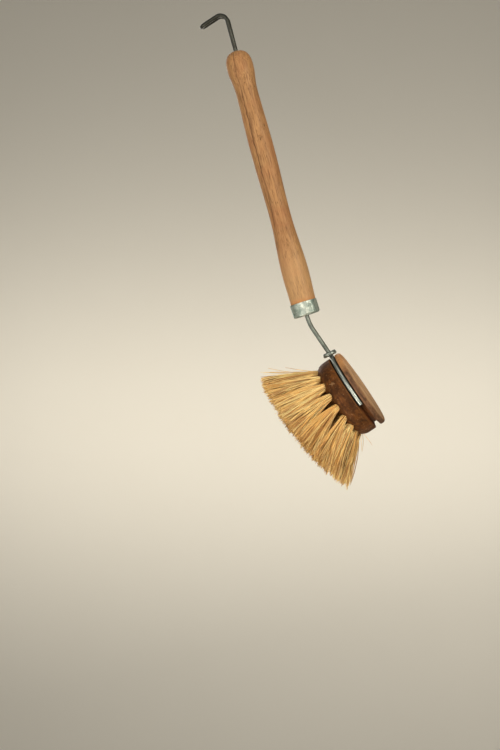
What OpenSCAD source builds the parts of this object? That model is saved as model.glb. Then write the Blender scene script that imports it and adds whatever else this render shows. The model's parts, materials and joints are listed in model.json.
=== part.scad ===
// Long-handled wooden dish brush with a replaceable round head.
// One wire, bent double, is the hook at the top, runs down through the handle,
// comes out as the neck and ends in two sprung prongs that hold the head by its groove.
// Origin: the seat inside the hook's bend. The handle hangs along -Z, the bristles face -X.

/* [Wire] */
// Diameter of the wire that is hook, neck and clip in one
wire_d = 2.4; // [2:0.1:3]
// Gap between the two legs of the wire
leg_gap = 0.2; // [0.1:0.05:0.6]

/* [Hook] */
// Rise of the wire above the handle, up to the hook's bend
hook_rise = 18.7; // [17:0.1:35]
// Radius of the hook's bend, along the middle of the wire
hook_bend_r = 4.3; // [3.5:0.1:8]
// Angle by which the hook bends over
hook_angle = 107; // [95:1:165]
// Length of the hook past its bend, up to its round end
hook_reach = 8.3; // [3:0.1:15]
// Gap between the two strands of the hook
eye_gap = 3.2; // [2:0.1:5]
// Angle at which each strand leaves the other
eye_turn = 8; // [7:0.5:14]
// Radius of the gentle bends by which the strands part
eye_bend_r = 10; // [6:1:15]
// Height above the handle at which the strands start to part
eye_lead = 2; // [1:0.5:4]

/* [Handle] */
// Length of the handle
handle_len = 165; // [150:0.5:220]
// Diameter of the rounded knob at the top
knob_d = 16.2; // [14:0.1:22]
// Distance from the top to the widest place of the knob
knob_at = 10.7; // [7:0.1:14]
// Fullness of the top's curve, where 2 is an ellipse
knob_power = 2.6; // [2:0.1:4]
// Diameter of the waist below the knob
waist_d = 13.3; // [11:0.1:16]
// Distance from the top to the waist
waist_at = 25; // [20:0.5:32]
// Diameter of the belly in the middle of the grip
belly_d = 14.5; // [12:0.1:20]
// Distance from the top to the belly
belly_at = 60; // [45:0.5:70]
// Diameter of the narrowest place, above the flare
wrist_d = 13; // [11:0.1:16]
// Distance from the top to the narrowest place
wrist_at = 103; // [85:0.5:110]
// Diameter of the flare above the ferrule
flare_d = 16.4; // [14:0.1:22]
// Distance from the bottom of the handle to the widest place of the flare
flare_up = 25.5; // [16:0.5:32]
// Diameter of the turned end inside the ferrule
tenon_d = 15.5; // [14:0.1:20]
// Clearance between the wire's legs and the bore through the handle
bore_clear = 0.1; // [0.05:0.05:0.5]

/* [Ferrule] */
// Height of the ferrule
ferrule_h = 8.3; // [6:0.1:12]
// Thickness of the ferrule's sheet metal
ferrule_wall = 0.5; // [0.3:0.05:0.8]
// Radius of the ferrule's rounded lower edge
ferrule_edge_r = 1.3; // [1:0.1:2]
// Width of the lip that is turned in under the handle
ferrule_lip = 3.4; // [2.4:0.1:4]
// Clearance between the ferrule and the wood
ferrule_clear = 0.05; // [0.03:0.01:0.1]
// Radius of the punch that crimps the ferrule into the wood
punch_r = 1.5; // [1:0.1:2]
// Depth of a crimp
punch_depth = 0.6; // [0.3:0.05:0.8]
// Height of the crimps above the ferrule's lower edge
punch_at = 4.2; // [3:0.1:4.5]
// Direction of the first crimp, where the second is opposite
punch_turn = -62; // [-90:1:90]

/* [Neck and ring] */
// Straight length of the neck before its bend
neck_lead = 0.5; // [0.5:0.1:5]
// Radius of the neck's bend
neck_bend_r = 27; // [15:1:40]
// Angle between the handle and the head
neck_bend = 19.3; // [10:0.1:30]
// Straight length of the neck from its bend to the lock ring
neck_run = 17.6; // [14:0.1:30]
// Diameter of the wire of the lock ring
ring_wire_d = 1.7; // [1.2:0.1:1.8]
// Clearance between the lock ring and the legs of the neck
ring_clear = 0.25; // [0.2:0.05:0.4]
// Angle by which the lock ring sits askew
ring_tilt = 9; // [0:1:12]
// Gap between the middle of the lock ring and the rim of the head
ring_gap = 2.4; // [2.3:0.1:5]

/* [Clip] */
// Distance past the lock ring at which the prongs start to part
prong_start = 0.6; // [0.3:0.1:0.7]
// Gap between the end of the neck and the root of a prong
prong_gap = 0.05; // [0.02:0.01:0.1]
// Radius of the bend at the start of a prong
prong_bend_r = 3.5; // [3:0.1:4]
// Angle by which a prong wraps past the widest place of the groove
wrap_angle = 19.5; // [10:0.5:24]
// Clearance between a prong and the bottom of the groove
prong_clear = 0.8; // [0.6:0.05:1]

/* [Head] */
// Diameter of the head
head_d = 50; // [46:0.5:60]
// Thickness of the back plate, from the groove's mouth to the back
plate_t = 3.4; // [3:0.1:8]
// Radius of the back plate's worn edge
plate_edge_r = 1.8; // [0.8:0.1:2.2]
// Clearance on each side of a prong at the mouth of the groove
groove_clear = 0.7; // [0.5:0.05:1]
// Angle of the groove's sides, which narrow towards its bottom
groove_angle = 15; // [5:1:18]
// Depth of the groove
groove_depth = 3.4; // [3.2:0.1:4.2]
// Radius of the groove's two rims
groove_edge_r = 0.5; // [0.2:0.1:1]
// Thickness of the block below the groove
block_t = 12.5; // [12:0.5:18]
// Radius of the block's rounded lower corner
block_corner_r = 8; // [6:0.5:11]

/* [Tufts] */
// Angle by which the head and its rings of tufts are turned in the clip
head_turn = 4; // [-180:1:180]
// Diameter of a tuft hole
hole_d = 4.6; // [4:0.1:5]
// Depth of a tuft hole
hole_depth = 8; // [6:0.5:9]
// Clearance between a tuft and its hole
tuft_clear = 0.05; // [0.03:0.01:0.1]
// Length of the outer bristles outside the block
bristle_len = 34; // [20:1:45]
// Distance by which the tips are worn over, away from the handle
tip_lean = 7.5; // [0:0.5:9]
// Tufts in the outer ring
outer_count = 18; // [10:1:18]
// Angle of the outer tufts to the axis of the head
outer_splay = 35; // [26:1:36]
// Tufts in the middle ring
middle_count = 10; // [6:1:10]
// Share of the way from the middle of the head to its rim at which the middle ring sits
middle_share = 0.52; // [0.5:0.01:0.56]
// Angle of the middle tufts to the axis of the head
middle_splay = 18; // [14:1:20]
// Tufts in the inner ring
inner_count = 5; // [3:1:5]
// Share of the way from the middle of the head to its rim at which the inner ring sits
inner_share = 0.22; // [0.22:0.01:0.24]
// Angle of the inner tufts to the axis of the head
inner_splay = 7; // [4:1:8]
// Strands in each tuft
strand_count = 13; // [8:1:13]
// Width of a strand at its root
strand_root_d = 0.72; // [0.5:0.02:0.8]
// Width of a strand at its tip
strand_tip_d = 1.2; // [0.6:0.05:1.3]
// Length of a strand inside its root
strand_sink = 1; // [0.5:0.1:2]
// Margin between the strands and the edge of their root
strand_margin = 0.1; // [0.05:0.05:0.3]
// Share of the room along the ring that the tips of the outer tufts fill
outer_fill_share = 0.95; // [0.5:0.01:0.95]
// Half the spread of an outer tuft's tips, across the ring
outer_depth = 3.4; // [2.6:0.1:5]
// Half the spread of a middle tuft's tips
middle_fan = 5.6; // [3:0.1:6]
// Half the spread of an inner tuft's tips
inner_fan = 4.2; // [3:0.1:4.4]
// Share by which the shortest strand falls short of the longest
ragged_share = 0.12; // [0:0.01:0.2]

/* [Tuft anchors] */
// Width of the flat wire that anchors a tuft
anchor_w = 1.6; // [1:0.1:2]
// Thickness of the flat wire
anchor_t = 0.4; // [0.3:0.05:0.5]
// Length of an anchor in the wood on each side of its hole
anchor_bite = 0.4; // [0.2:0.05:0.6]
// Height of an anchor above the bottom of its hole
anchor_up = 1.2; // [0.8:0.1:2]
// Clearance around an anchor
anchor_clear = 0.05; // [0.03:0.01:0.1]

/* [Hidden] */
$fn = 64;
// Points along a curved outline
side_steps = 60;
dome_steps = 12;
edge_steps = 8;
// Overlap of a cutting shape past the surface that it cuts
cut_over = 1;
// A straight run of wire is a hair thinner than a bend and reaches a little into it
run_slim = 0.02;
run_lap = 0.1;

// The two legs of the wire
leg_y = (wire_d + leg_gap) / 2;
pair_r = leg_y + wire_d / 2;
eye_y = (wire_d + eye_gap) / 2;
eye_slant = (eye_y - leg_y - 2 * eye_bend_r * (1 - cos(eye_turn))) / sin(eye_turn);
eye_rise = hook_rise - eye_lead - 2 * eye_bend_r * sin(eye_turn) - eye_slant * cos(eye_turn);
seat_z = handle_len + hook_rise + hook_bend_r - wire_d / 2;

// The handle
bore_r = pair_r + bore_clear;
flare_at = handle_len - flare_up;
tenon_at = handle_len - ferrule_h;

// The ferrule
ferrule_in_r = tenon_d / 2 + ferrule_clear;
ferrule_r = ferrule_in_r + ferrule_wall;
punch_x = ferrule_r + punch_r - punch_depth;
tenon_edge = ferrule_edge_r - ferrule_wall + ferrule_clear;

// The neck, the ring and the prongs
head_r = head_d / 2;
ring_from_head = head_r + ring_gap;
split_from_head = ring_from_head - prong_start;
neck_len = neck_run + ring_from_head;
head_at = [
    neck_bend_r * (1 - cos(neck_bend)) + neck_len * sin(neck_bend),
    0,
    -neck_lead - neck_bend_r * sin(neck_bend) - neck_len * cos(neck_bend)
];
ring_r = pair_r + ring_clear + ring_wire_d / 2;
groove_r = head_r - groove_depth;
prong_r = groove_r + prong_clear + wire_d / 2;
prong_reach = norm([leg_y + prong_bend_r, split_from_head]);
prong_aim = atan2(split_from_head, leg_y + prong_bend_r);
prong_turn = prong_aim - acos((prong_r + prong_bend_r) / prong_reach);
prong_x = -split_from_head + prong_bend_r * sin(prong_turn);
prong_y = leg_y + prong_bend_r * (1 - cos(prong_turn));
prong_run = -(prong_x * cos(prong_turn) + prong_y * sin(prong_turn));

// The head, with its groove's middle at height 0 and its bristles below
groove_half = wire_d / 2 + groove_clear;
floor_half = groove_half - groove_depth * tan(groove_angle);
rim_z = groove_half + groove_edge_r * (1 - sin(groove_angle)) / cos(groove_angle);
back_z = groove_half + plate_t;
face_z = -groove_half - block_t;

// The tufts
root_r = hole_d / 2 - tuft_clear;
strand_spread = root_r - strand_root_d / 2 - strand_margin;
outer_root_r = head_r - block_corner_r * (1 - sin(outer_splay));
outer_root_z = face_z + block_corner_r * (1 - cos(outer_splay));
middle_r = middle_share * head_r;
inner_r = inner_share * head_r;
outer_tip_r = outer_root_r + bristle_len * sin(outer_splay);
outer_fan = outer_fill_share * outer_tip_r * sin(180 / outer_count);
tip_z = outer_root_z - bristle_len * cos(outer_splay);
golden_turn = 137.508;
// Each ring: name, count, radius, height, splay, spread along and across the ring
RINGS = [
    ["outer", outer_count, outer_root_r, outer_root_z, outer_splay, outer_fan, outer_depth],
    ["middle", middle_count, middle_r, face_z, middle_splay, middle_fan, middle_fan],
    ["inner", inner_count, inner_r, face_z, inner_splay, inner_fan, inner_fan]
];
// Each tuft: name, ring, direction
TUFTS = [
    for (ring = RINGS)
        for (i = [1 : ring[1]])
            let (name = str("tuft_", ring[0], "_", i < 10 ? "0" : "", i))
            [name, ring, head_turn + (i - 0.5) * 360 / ring[1]]
];

// Points of an arc about c, from angle a0 to angle a1
function arc(c, r, a0, a1) =
    [for (i = [0 : edge_steps]) let (a = a0 + (a1 - a0) * i / edge_steps) c + r * [cos(a), sin(a)]];

// Smooth step from 0 to 1
function ease(t) = (1 - cos(180 * t)) / 2;

// Radius of the turned handle at distance d below its top, between its widest and narrowest places
function between(d, d0, w0, d1, w1) = (w0 + (w1 - w0) * ease((d - d0) / (d1 - d0))) / 2;
function side_r(d) =
    d < waist_at ? between(d, knob_at, knob_d, waist_at, waist_d)
    : d < belly_at ? between(d, waist_at, waist_d, belly_at, belly_d)
    : d < wrist_at ? between(d, belly_at, belly_d, wrist_at, wrist_d)
    : d < flare_at ? between(d, wrist_at, wrist_d, flare_at, flare_d)
    : between(d, flare_at, flare_d, tenon_at, tenon_d);

// Distance below the top of the handle at which its dome has radius r
function dome_at(r) = knob_at * (1 - pow(1 - pow(2 * r / knob_d, knob_power), 1 / knob_power));

// Half outline of the handle, bore included, from the bottom of the bore to its top
function handle_outline() = concat(
    [
        [bore_r, ferrule_wall],
        [tenon_d / 2 - tenon_edge, ferrule_wall],
        [tenon_d / 2, ferrule_wall + tenon_edge]
    ],
    [
        for (i = [0 : side_steps])
            let (d = tenon_at + (knob_at - tenon_at) * i / side_steps)
            [side_r(d), handle_len - d]
    ],
    [
        for (i = [1 : dome_steps])
            let (r = bore_r + (knob_d / 2 - bore_r) * cos(90 * i / dome_steps))
            [r, handle_len - dome_at(r)]
    ]
);

// Half outline of the head, from the middle of its back to the middle of its bristle face
function head_outline() = concat(
    [[0, back_z]],
    arc([head_r - plate_edge_r, back_z - plate_edge_r], plate_edge_r, 90, 0),
    arc([head_r - groove_edge_r, rim_z], groove_edge_r, 0, groove_angle - 90),
    [[groove_r, floor_half], [groove_r, -floor_half]],
    arc([head_r - groove_edge_r, -rim_z], groove_edge_r, 90 - groove_angle, 0),
    arc([head_r - block_corner_r, face_z + block_corner_r], block_corner_r, 0, -90),
    [[0, face_z]]
);

// The handle's frame: middle of its lower end, hung below the seat of the hook
module at_handle() {
    translate([hook_bend_r, 0, -seat_z])
        children();
}

// The head's frame: X away from the handle, Z out of the back
module at_head() {
    at_handle()
        translate(head_at)
            rotate([0, 90 - neck_bend, 0])
                children();
}

// The frame of a tuft: root at the surface of the block, Z along the bristles
module at_root(ring, direction) {
    rotate([0, 0, direction])
        translate([ring[2], 0, ring[3]])
            rotate([0, 180 - ring[4], 0])
                children();
}

// A wire that follows its steps from the origin along Z.
// A step is [length], or [radius, angle, side] for a bend towards that side of X.
module bent_wire(steps, i = 0) {
    if (i < len(steps)) {
        step = steps[i];
        if (len(step) == 1) {
            lap_before = i > 0 ? run_lap : 0;
            lap_after = i < len(steps) - 1 ? run_lap : 0;
            translate([0, 0, -lap_before])
                cylinder(d = wire_d - run_slim, h = lap_before + step[0] + lap_after);
            translate([0, 0, step[0]])
                bent_wire(steps, i + 1);
        } else {
            rotate([0, 0, step[2]])
                translate([step[0], 0, 0]) {
                    rotate([90, 0, 180])
                        rotate_extrude(angle = step[1])
                            translate([step[0], 0])
                                circle(d = wire_d);
                    rotate([0, step[1], 0])
                        translate([-step[0], 0, 0])
                            rotate([0, 0, -step[2]])
                                bent_wire(steps, i + 1);
                }
        }
    }
}

function reversed(list) = [for (i = [len(list) - 1 : -1 : 0]) list[i]];

// Half of the wire: up the neck, through the handle and along one strand of the hook
HALF_WIRE = [
    [neck_run + prong_start - prong_gap],
    [neck_bend_r, neck_bend, 0],
    [neck_lead + handle_len + eye_lead],
    [eye_bend_r, eye_turn, 90],
    [eye_slant],
    [eye_bend_r, eye_turn, -90],
    [eye_rise],
    [hook_bend_r, hook_angle, 180],
    [hook_reach]
];

module hanger_wire() {
    color("slategray")
        at_head()
            translate([-split_from_head - prong_gap, leg_y, 0])
                rotate([0, -90, 0])
                    bent_wire(concat(HALF_WIRE, [[eye_y, 180, -90]], reversed(HALF_WIRE)));
}

// The ball of a crimp, at both sides of the ferrule
module punches(r) {
    for (turn = [0, 180])
        rotate([0, 0, punch_turn + turn])
            translate([punch_x, 0, punch_at])
                sphere(r);
}

module handle() {
    color("peru")
        at_handle()
            difference() {
                rotate_extrude()
                    polygon(handle_outline());
                punches(punch_r + ferrule_wall + ferrule_clear);
            }
}

// Cup with a rounded lower edge, as a half outline
module cup_outline(r, edge_r, bottom, top) {
    polygon(concat(
        [[0, bottom]],
        arc([r - edge_r, bottom + edge_r], edge_r, -90, 0),
        [[r, top], [0, top]]
    ));
}

module ferrule() {
    color("lightsteelblue")
        at_handle()
            difference() {
                union() {
                    rotate_extrude()
                        difference() {
                            cup_outline(ferrule_r, ferrule_edge_r, 0, ferrule_h);
                            cup_outline(
                                ferrule_in_r,
                                ferrule_edge_r - ferrule_wall,
                                ferrule_wall,
                                ferrule_h + cut_over
                            );
                            translate([0, -cut_over])
                                square([ferrule_r - ferrule_lip, ferrule_h]);
                        }
                    intersection() {
                        punches(punch_r + ferrule_wall);
                        cylinder(r = ferrule_in_r + ferrule_wall / 2, h = ferrule_h);
                    }
                }
                punches(punch_r);
            }
}

module lock_ring() {
    color("lightslategray")
        at_head()
            translate([-ring_from_head, 0, 0])
                rotate([0, 90 + ring_tilt, 0])
                    rotate_extrude()
                        translate([ring_r, 0])
                            circle(d = ring_wire_d);
}

// The prong on the +Y side
module prong() {
    translate([-split_from_head, leg_y, 0])
        rotate([90, 0, 90])
            bent_wire([
                [prong_bend_r, prong_turn, 0],
                [prong_run],
                [prong_r, prong_turn + wrap_angle, 180]
            ]);
}

module left_prong() {
    color("slategray")
        at_head()
            prong();
}

module right_prong() {
    color("slategray")
        at_head()
            mirror([0, 1, 0])
                prong();
}

// The flat wire of one anchor, in the frame of its tuft
module anchor(clear) {
    size = [hole_d + 2 * anchor_bite, anchor_t, anchor_w] + 2 * clear * [1, 1, 1];
    translate([0, 0, anchor_up + anchor_w / 2 - hole_depth])
        cube(size, center = true);
}

module head_block() {
    color("saddlebrown")
        at_head()
            difference() {
                rotate_extrude()
                    polygon(head_outline());
                for (t = TUFTS)
                    at_root(t[1], t[2]) {
                        translate([0, 0, -hole_depth])
                            cylinder(d = hole_d, h = hole_depth + cut_over);
                        anchor(anchor_clear);
                    }
            }
}

module tuft_anchors() {
    color("silver")
        at_head()
            for (t = TUFTS)
                at_root(t[1], t[2])
                    anchor(0);
}

// Three corners of a strand at place p and height h
function strand_ring(p, h, d, turn) =
    [for (j = [0 : 2]) [p.x + d / 2 * cos(turn + 120 * j), p.y + d / 2 * sin(turn + 120 * j), h]];

// Corners of strand k of a tuft: in its root, half way up and at its tip.
// All strands spread from the middle in one proportion, so none crosses another.
function strand_points(k, length, spread, lean) =
    let (
        turn = k * golden_turn,
        root = strand_spread * sqrt((k + 0.5) / strand_count) * [cos(turn), sin(turn)],
        tip = [root.x * spread.x, root.y * spread.y] / strand_spread + lean,
        half = (root + tip - lean / 2) / 2,
        part = 1 - 2 * ragged_share * (5 * k % strand_count) / strand_count,
        end = half + (tip - half) * part
    )
    concat(
        strand_ring(root, -strand_sink, strand_root_d, turn),
        strand_ring(half, length / 2, (strand_root_d + strand_tip_d) / 2, turn),
        strand_ring(end, length * (1 + part) / 2, strand_tip_d, turn)
    );

// Triangles of a strand whose first corner is number b
function strand_faces(b) = concat(
    [[b, b + 1, b + 2], [b + 8, b + 7, b + 6]],
    [
        for (low = [0, 3])
            for (j = [0 : 2])
                let (a = b + low + j, c = b + low + (j + 1) % 3)
                each [[a, a + 3, c + 3], [a, c + 3, c]]
    ]
);

// One tuft: its root in the hole, slotted for its anchor, and its fan of strands
module tuft(ring, direction) {
    splay = ring[4];
    length = (ring[3] - tip_z) / cos(splay);
    lean = -tip_lean * [cos(direction) * cos(splay), sin(direction)];
    color("burlywood")
        at_head()
            at_root(ring, direction)
                difference() {
                    union() {
                        translate([0, 0, -hole_depth])
                            cylinder(r = root_r, h = hole_depth);
                        polyhedron(
                            [
                                for (k = [0 : strand_count - 1])
                                    each strand_points(k, length, [ring[6], ring[5]], lean)
                            ],
                            [for (k = [0 : strand_count - 1]) each strand_faces(9 * k)]
                        );
                    }
                    anchor(anchor_clear);
                }
}

handle();
ferrule();
hanger_wire();
lock_ring();
left_prong();
right_prong();
head_block();
tuft_anchors();
for (t = TUFTS)
    tuft(t[1], t[2]);
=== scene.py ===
import bpy
import json
import math
import random
from mathutils import Matrix, Vector


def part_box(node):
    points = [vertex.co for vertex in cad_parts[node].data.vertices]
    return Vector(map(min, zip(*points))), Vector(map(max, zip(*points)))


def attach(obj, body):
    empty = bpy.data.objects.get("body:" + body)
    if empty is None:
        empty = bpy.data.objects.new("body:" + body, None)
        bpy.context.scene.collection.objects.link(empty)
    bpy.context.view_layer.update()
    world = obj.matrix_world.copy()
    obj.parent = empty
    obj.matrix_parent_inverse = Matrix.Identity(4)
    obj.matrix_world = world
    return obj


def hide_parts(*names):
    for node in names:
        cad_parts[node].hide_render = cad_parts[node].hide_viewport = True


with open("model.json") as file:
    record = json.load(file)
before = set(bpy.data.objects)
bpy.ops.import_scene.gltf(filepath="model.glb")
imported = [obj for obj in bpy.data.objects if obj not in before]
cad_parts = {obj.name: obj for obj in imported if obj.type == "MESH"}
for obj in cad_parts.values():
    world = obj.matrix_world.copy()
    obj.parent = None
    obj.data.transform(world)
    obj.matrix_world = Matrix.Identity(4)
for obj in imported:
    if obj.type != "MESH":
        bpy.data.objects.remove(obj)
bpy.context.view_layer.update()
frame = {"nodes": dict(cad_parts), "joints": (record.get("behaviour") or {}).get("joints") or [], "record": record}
mm = 0.001
weldGap = 0.002 * mm
joints = {joint["name"]: joint for joint in frame["joints"]}
mounts = {mount["name"]: mount for mount in frame["record"]["mounts"]}

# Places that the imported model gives
handleLow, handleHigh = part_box("handle")
ferruleLow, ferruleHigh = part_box("ferrule")
blockLow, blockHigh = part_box("head_block")
handleAxis = (handleLow + handleHigh) / 2
headRadius = (blockHigh.y - blockLow.y) / 2
awayFromHandle = Vector(joints["head_release"]["axis"])
outOfBack = Vector(mounts["head_back"]["axis"])
headBack = Vector(mounts["head_back"]["pos_m"])

# Sizes that several pieces share; lengths as in the model's source
wire = {"radius": 1.2 * mm, "legGap": 0.2 * mm, "sides": 24, "bendStep": 4, "shade": 40}  # bendStep in degrees
head = {
    "plate": 3.4 * mm, "plateEdge": 1.8 * mm, "grooveClear": 0.7 * mm, "grooveAngle": 15, "grooveDepth": 3.4 * mm,
    "grooveEdge": 0.5 * mm, "block": 12.5 * mm, "corner": 8 * mm, "sides": 144, "shade": 40,
    "cuts": {"back": 10, "plateEdge": 8, "rim": 3, "lip": 5, "side": 4, "corner": 16, "face": 8},
}
legSide = wire["radius"] + wire["legGap"] / 2
grooveHalf = wire["radius"] + head["grooveClear"]
headCentre = headBack - outOfBack * (head["plate"] + grooveHalf)
headFrame = Matrix((
    (*awayFromHandle,), (*outOfBack.cross(awayFromHandle),), (*outOfBack,)
)).transposed().to_4x4()
headFrame.translation = headCentre  # X away from the handle, Z out of the back
faceHeight = -grooveHalf - head["block"]
print("frame loaded with", len(frame["nodes"]), "nodes")


def pickOnly(piece):
    if bpy.context.object and bpy.context.object.mode != "OBJECT":
        bpy.ops.object.mode_set(mode="OBJECT")
    bpy.ops.object.select_all(action="DESELECT")
    if piece:
        piece.select_set(True)
        bpy.context.view_layer.objects.active = piece


def settle(piece, place):  # moves a finished piece to its place and leaves it at the origin
    pickOnly(piece)
    piece.matrix_world = place
    bpy.ops.object.transform_apply(location=True, rotation=True, scale=True)


def smoothShade(piece, angle):
    pickOnly(piece)
    bpy.ops.object.shade_smooth_by_angle(angle=math.radians(angle))


def applyModifier(piece, kind, **settings):
    pickOnly(piece)
    bpy.ops.object.modifier_add(type=kind)
    modifier = piece.modifiers[-1]
    for key, value in settings.items():
        setattr(modifier, key, value)
    bpy.ops.object.modifier_apply(modifier=modifier.name)


def arcPoints(centre, radius, first, last, cuts):
    turns = [math.radians(first + (last - first) * i / cuts) for i in range(cuts + 1)]
    return [(centre[0] + radius * math.cos(t), centre[1] + radius * math.sin(t)) for t in turns]


def steppedLine(first, last, cuts):
    return [tuple(a + (b - a) * i / cuts for a, b in zip(first, last)) for i in range(cuts + 1)]


def smoothed(points, cuts):  # a rounder outline through the same points
    ends = [points[0]] + points + [points[-1]]
    line = []
    for quad in zip(ends, ends[1:], ends[2:], ends[3:]):
        for i in range(cuts):
            t = i / cuts
            line.append(tuple(
                0.5 * (2 * q + (r - p) * t + (2 * p - 5 * q + 4 * r - s) * t ** 2 + (3 * q - p - 3 * r + s) * t ** 3)
                for p, q, r, s in zip(*quad)
            ))
    return line + [points[-1]]


def turnBetween(first, second):  # from -180 to 180 degrees
    return (first - second + 180) % 360 - 180


def startLine(name, size):  # a mesh of one point, in edit mode
    pickOnly(None)
    bpy.ops.mesh.primitive_plane_add(size=size, location=(0, 0, 0))
    piece = bpy.context.object
    piece.name = name
    bpy.ops.object.mode_set(mode="EDIT")
    bpy.ops.mesh.select_all(action="SELECT")
    bpy.ops.mesh.merge(type="CENTER")
    return piece


def drawOut(points):
    bpy.ops.transform.translate(value=points[0])
    for first, last in zip(points, points[1:]):
        step = tuple(b - a for a, b in zip(first, last))
        bpy.ops.mesh.extrude_region_move(TRANSFORM_OT_translate={"value": step})
    bpy.ops.mesh.select_all(action="SELECT")


def turnOnLathe(name, outline, steps):  # outline of (radius, height) pairs, turned about Z
    piece = startLine(name, mm)
    drawOut([(radius, 0, height) for radius, height in outline])
    bpy.ops.mesh.spin(steps=steps, angle=2 * math.pi, center=(0, 0, 0), axis=(0, 0, 1))
    bpy.ops.mesh.select_all(action="SELECT")
    bpy.ops.mesh.remove_doubles(threshold=weldGap)
    bpy.ops.mesh.normals_make_consistent(inside=False)
    bpy.ops.object.mode_set(mode="OBJECT")
    return piece


def wirePath(start, steps):  # a step is a length, or a bend's radius, angle and side
    place = start.copy()
    points = [place.translation.copy()]
    for step in steps:
        if len(step) == 1:
            place = place @ Matrix.Translation((0, 0, step[0]))
            points.append(place.translation.copy())
            continue
        radius, angle, side = step
        aim = Matrix.Rotation(math.radians(side), 4, "Z")
        parts = max(3, round(angle / wire["bendStep"]))
        part = Matrix.Rotation(math.radians(angle / parts), 4, "Y")
        bend = Matrix.Translation((radius, 0, 0)) @ part @ Matrix.Translation((-radius, 0, 0))
        for i in range(parts):
            place = place @ aim @ bend @ aim.inverted()
            points.append(place.translation.copy())
    return points


def drawTubes(name, paths, radius, sides):  # paths of (place, thickness) pairs, as one mesh
    pickOnly(None)
    bpy.ops.curve.primitive_nurbs_path_add(location=(0, 0, 0))
    piece = bpy.context.object
    piece.name = name
    curve = piece.data
    curve.splines.clear()
    for path in paths:
        spline = curve.splines.new("POLY")
        spline.points.add(len(path) - 1)
        for point, (place, thickness) in zip(spline.points, path):
            point.co = (*place, 1)
            point.radius = thickness
    curve.dimensions = "3D"
    curve.bevel_depth = radius
    curve.bevel_resolution = (sides - 4) // 2
    curve.use_fill_caps = True
    bpy.ops.object.convert(target="MESH")
    return bpy.context.object


def paintPoints(piece, name, values):  # a number for each corner, which a material reads
    layer = piece.data.attributes.new(name, "FLOAT", "POINT")
    layer.data.foreach_set("value", values)


# Turned handle, split along the grain
handleSet = {
    "sides": 144, "cuts": 3, "boreCuts": 24, "tenonEdge": 0.8 * mm, "overlap": 0.2 * mm, "skin": 0.3 * mm, "shade": 60,
    "cameraSide": -85.2, "crackDepth": 0.26 * mm, "crackHalf": 0.5 * mm, "fadeIn": 6, "fadeOut": 16,
    "wander": ((1.2, 0.31), (0.7, 1.07)),  # degrees aside, and how quickly it swings
    "crack": [  # mm below the top, degrees round from the camera's side
        (3, -19), (16, -26), (37, -30), (54, -31), (75, -33), (88, -35), (98, -39), (106, -48), (115, -59), (127, -68),
    ],
    "marks": [  # mm below the top, degrees round, tallness and width in mm, strength
        (53.6, 2, 0.5, 0.9, 0.8), (54.6, 15, 0.7, 0.7, 0.6), (50.3, -2, 0.7, 0.5, 0.5), (26, -12, 0.8, 0.5, 0.35),
        (118.2, 2, 1.3, 0.4, 0.9), (121.2, 0, 0.9, 0.4, 0.8), (125.5, 16, 1.1, 0.3, 0.6), (125.5, -18, 1.2, 0.3, 0.7),
        (127.6, -24, 0.9, 0.3, 0.8), (112, -6, 2.4, 0.25, 0.4), (84, 15, 3.5, 0.2, 0.35), (27.5, -46, 2.2, 0.6, 0.45),
        (96, 42, 4, 0.3, 0.3), (64, 48, 2.5, 0.3, 0.3), (148, 8, 1.6, 0.35, 0.4), (40, 118, 5, 0.4, 0.5),
        (92, -160, 7, 0.3, 0.5),
    ],
}


def widestOutline(node, axis):  # the widest radius at each height of a turned node
    widest = {}
    for corner in frame["nodes"][node].data.vertices:
        height = round(corner.co.z, 6)
        reach = math.hypot(corner.co.x - axis.x, corner.co.y - axis.y)
        widest[height] = max(widest.get(height, 0), reach)
    return [(widest[height], height) for height in sorted(widest)]


def alongPath(path, value):  # the second number of a list of pairs, at a value of the first
    for (a, low), (b, high) in zip(path, path[1:]):
        if a <= value <= b:
            return low + (high - low) * (value - a) / (b - a)


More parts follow.
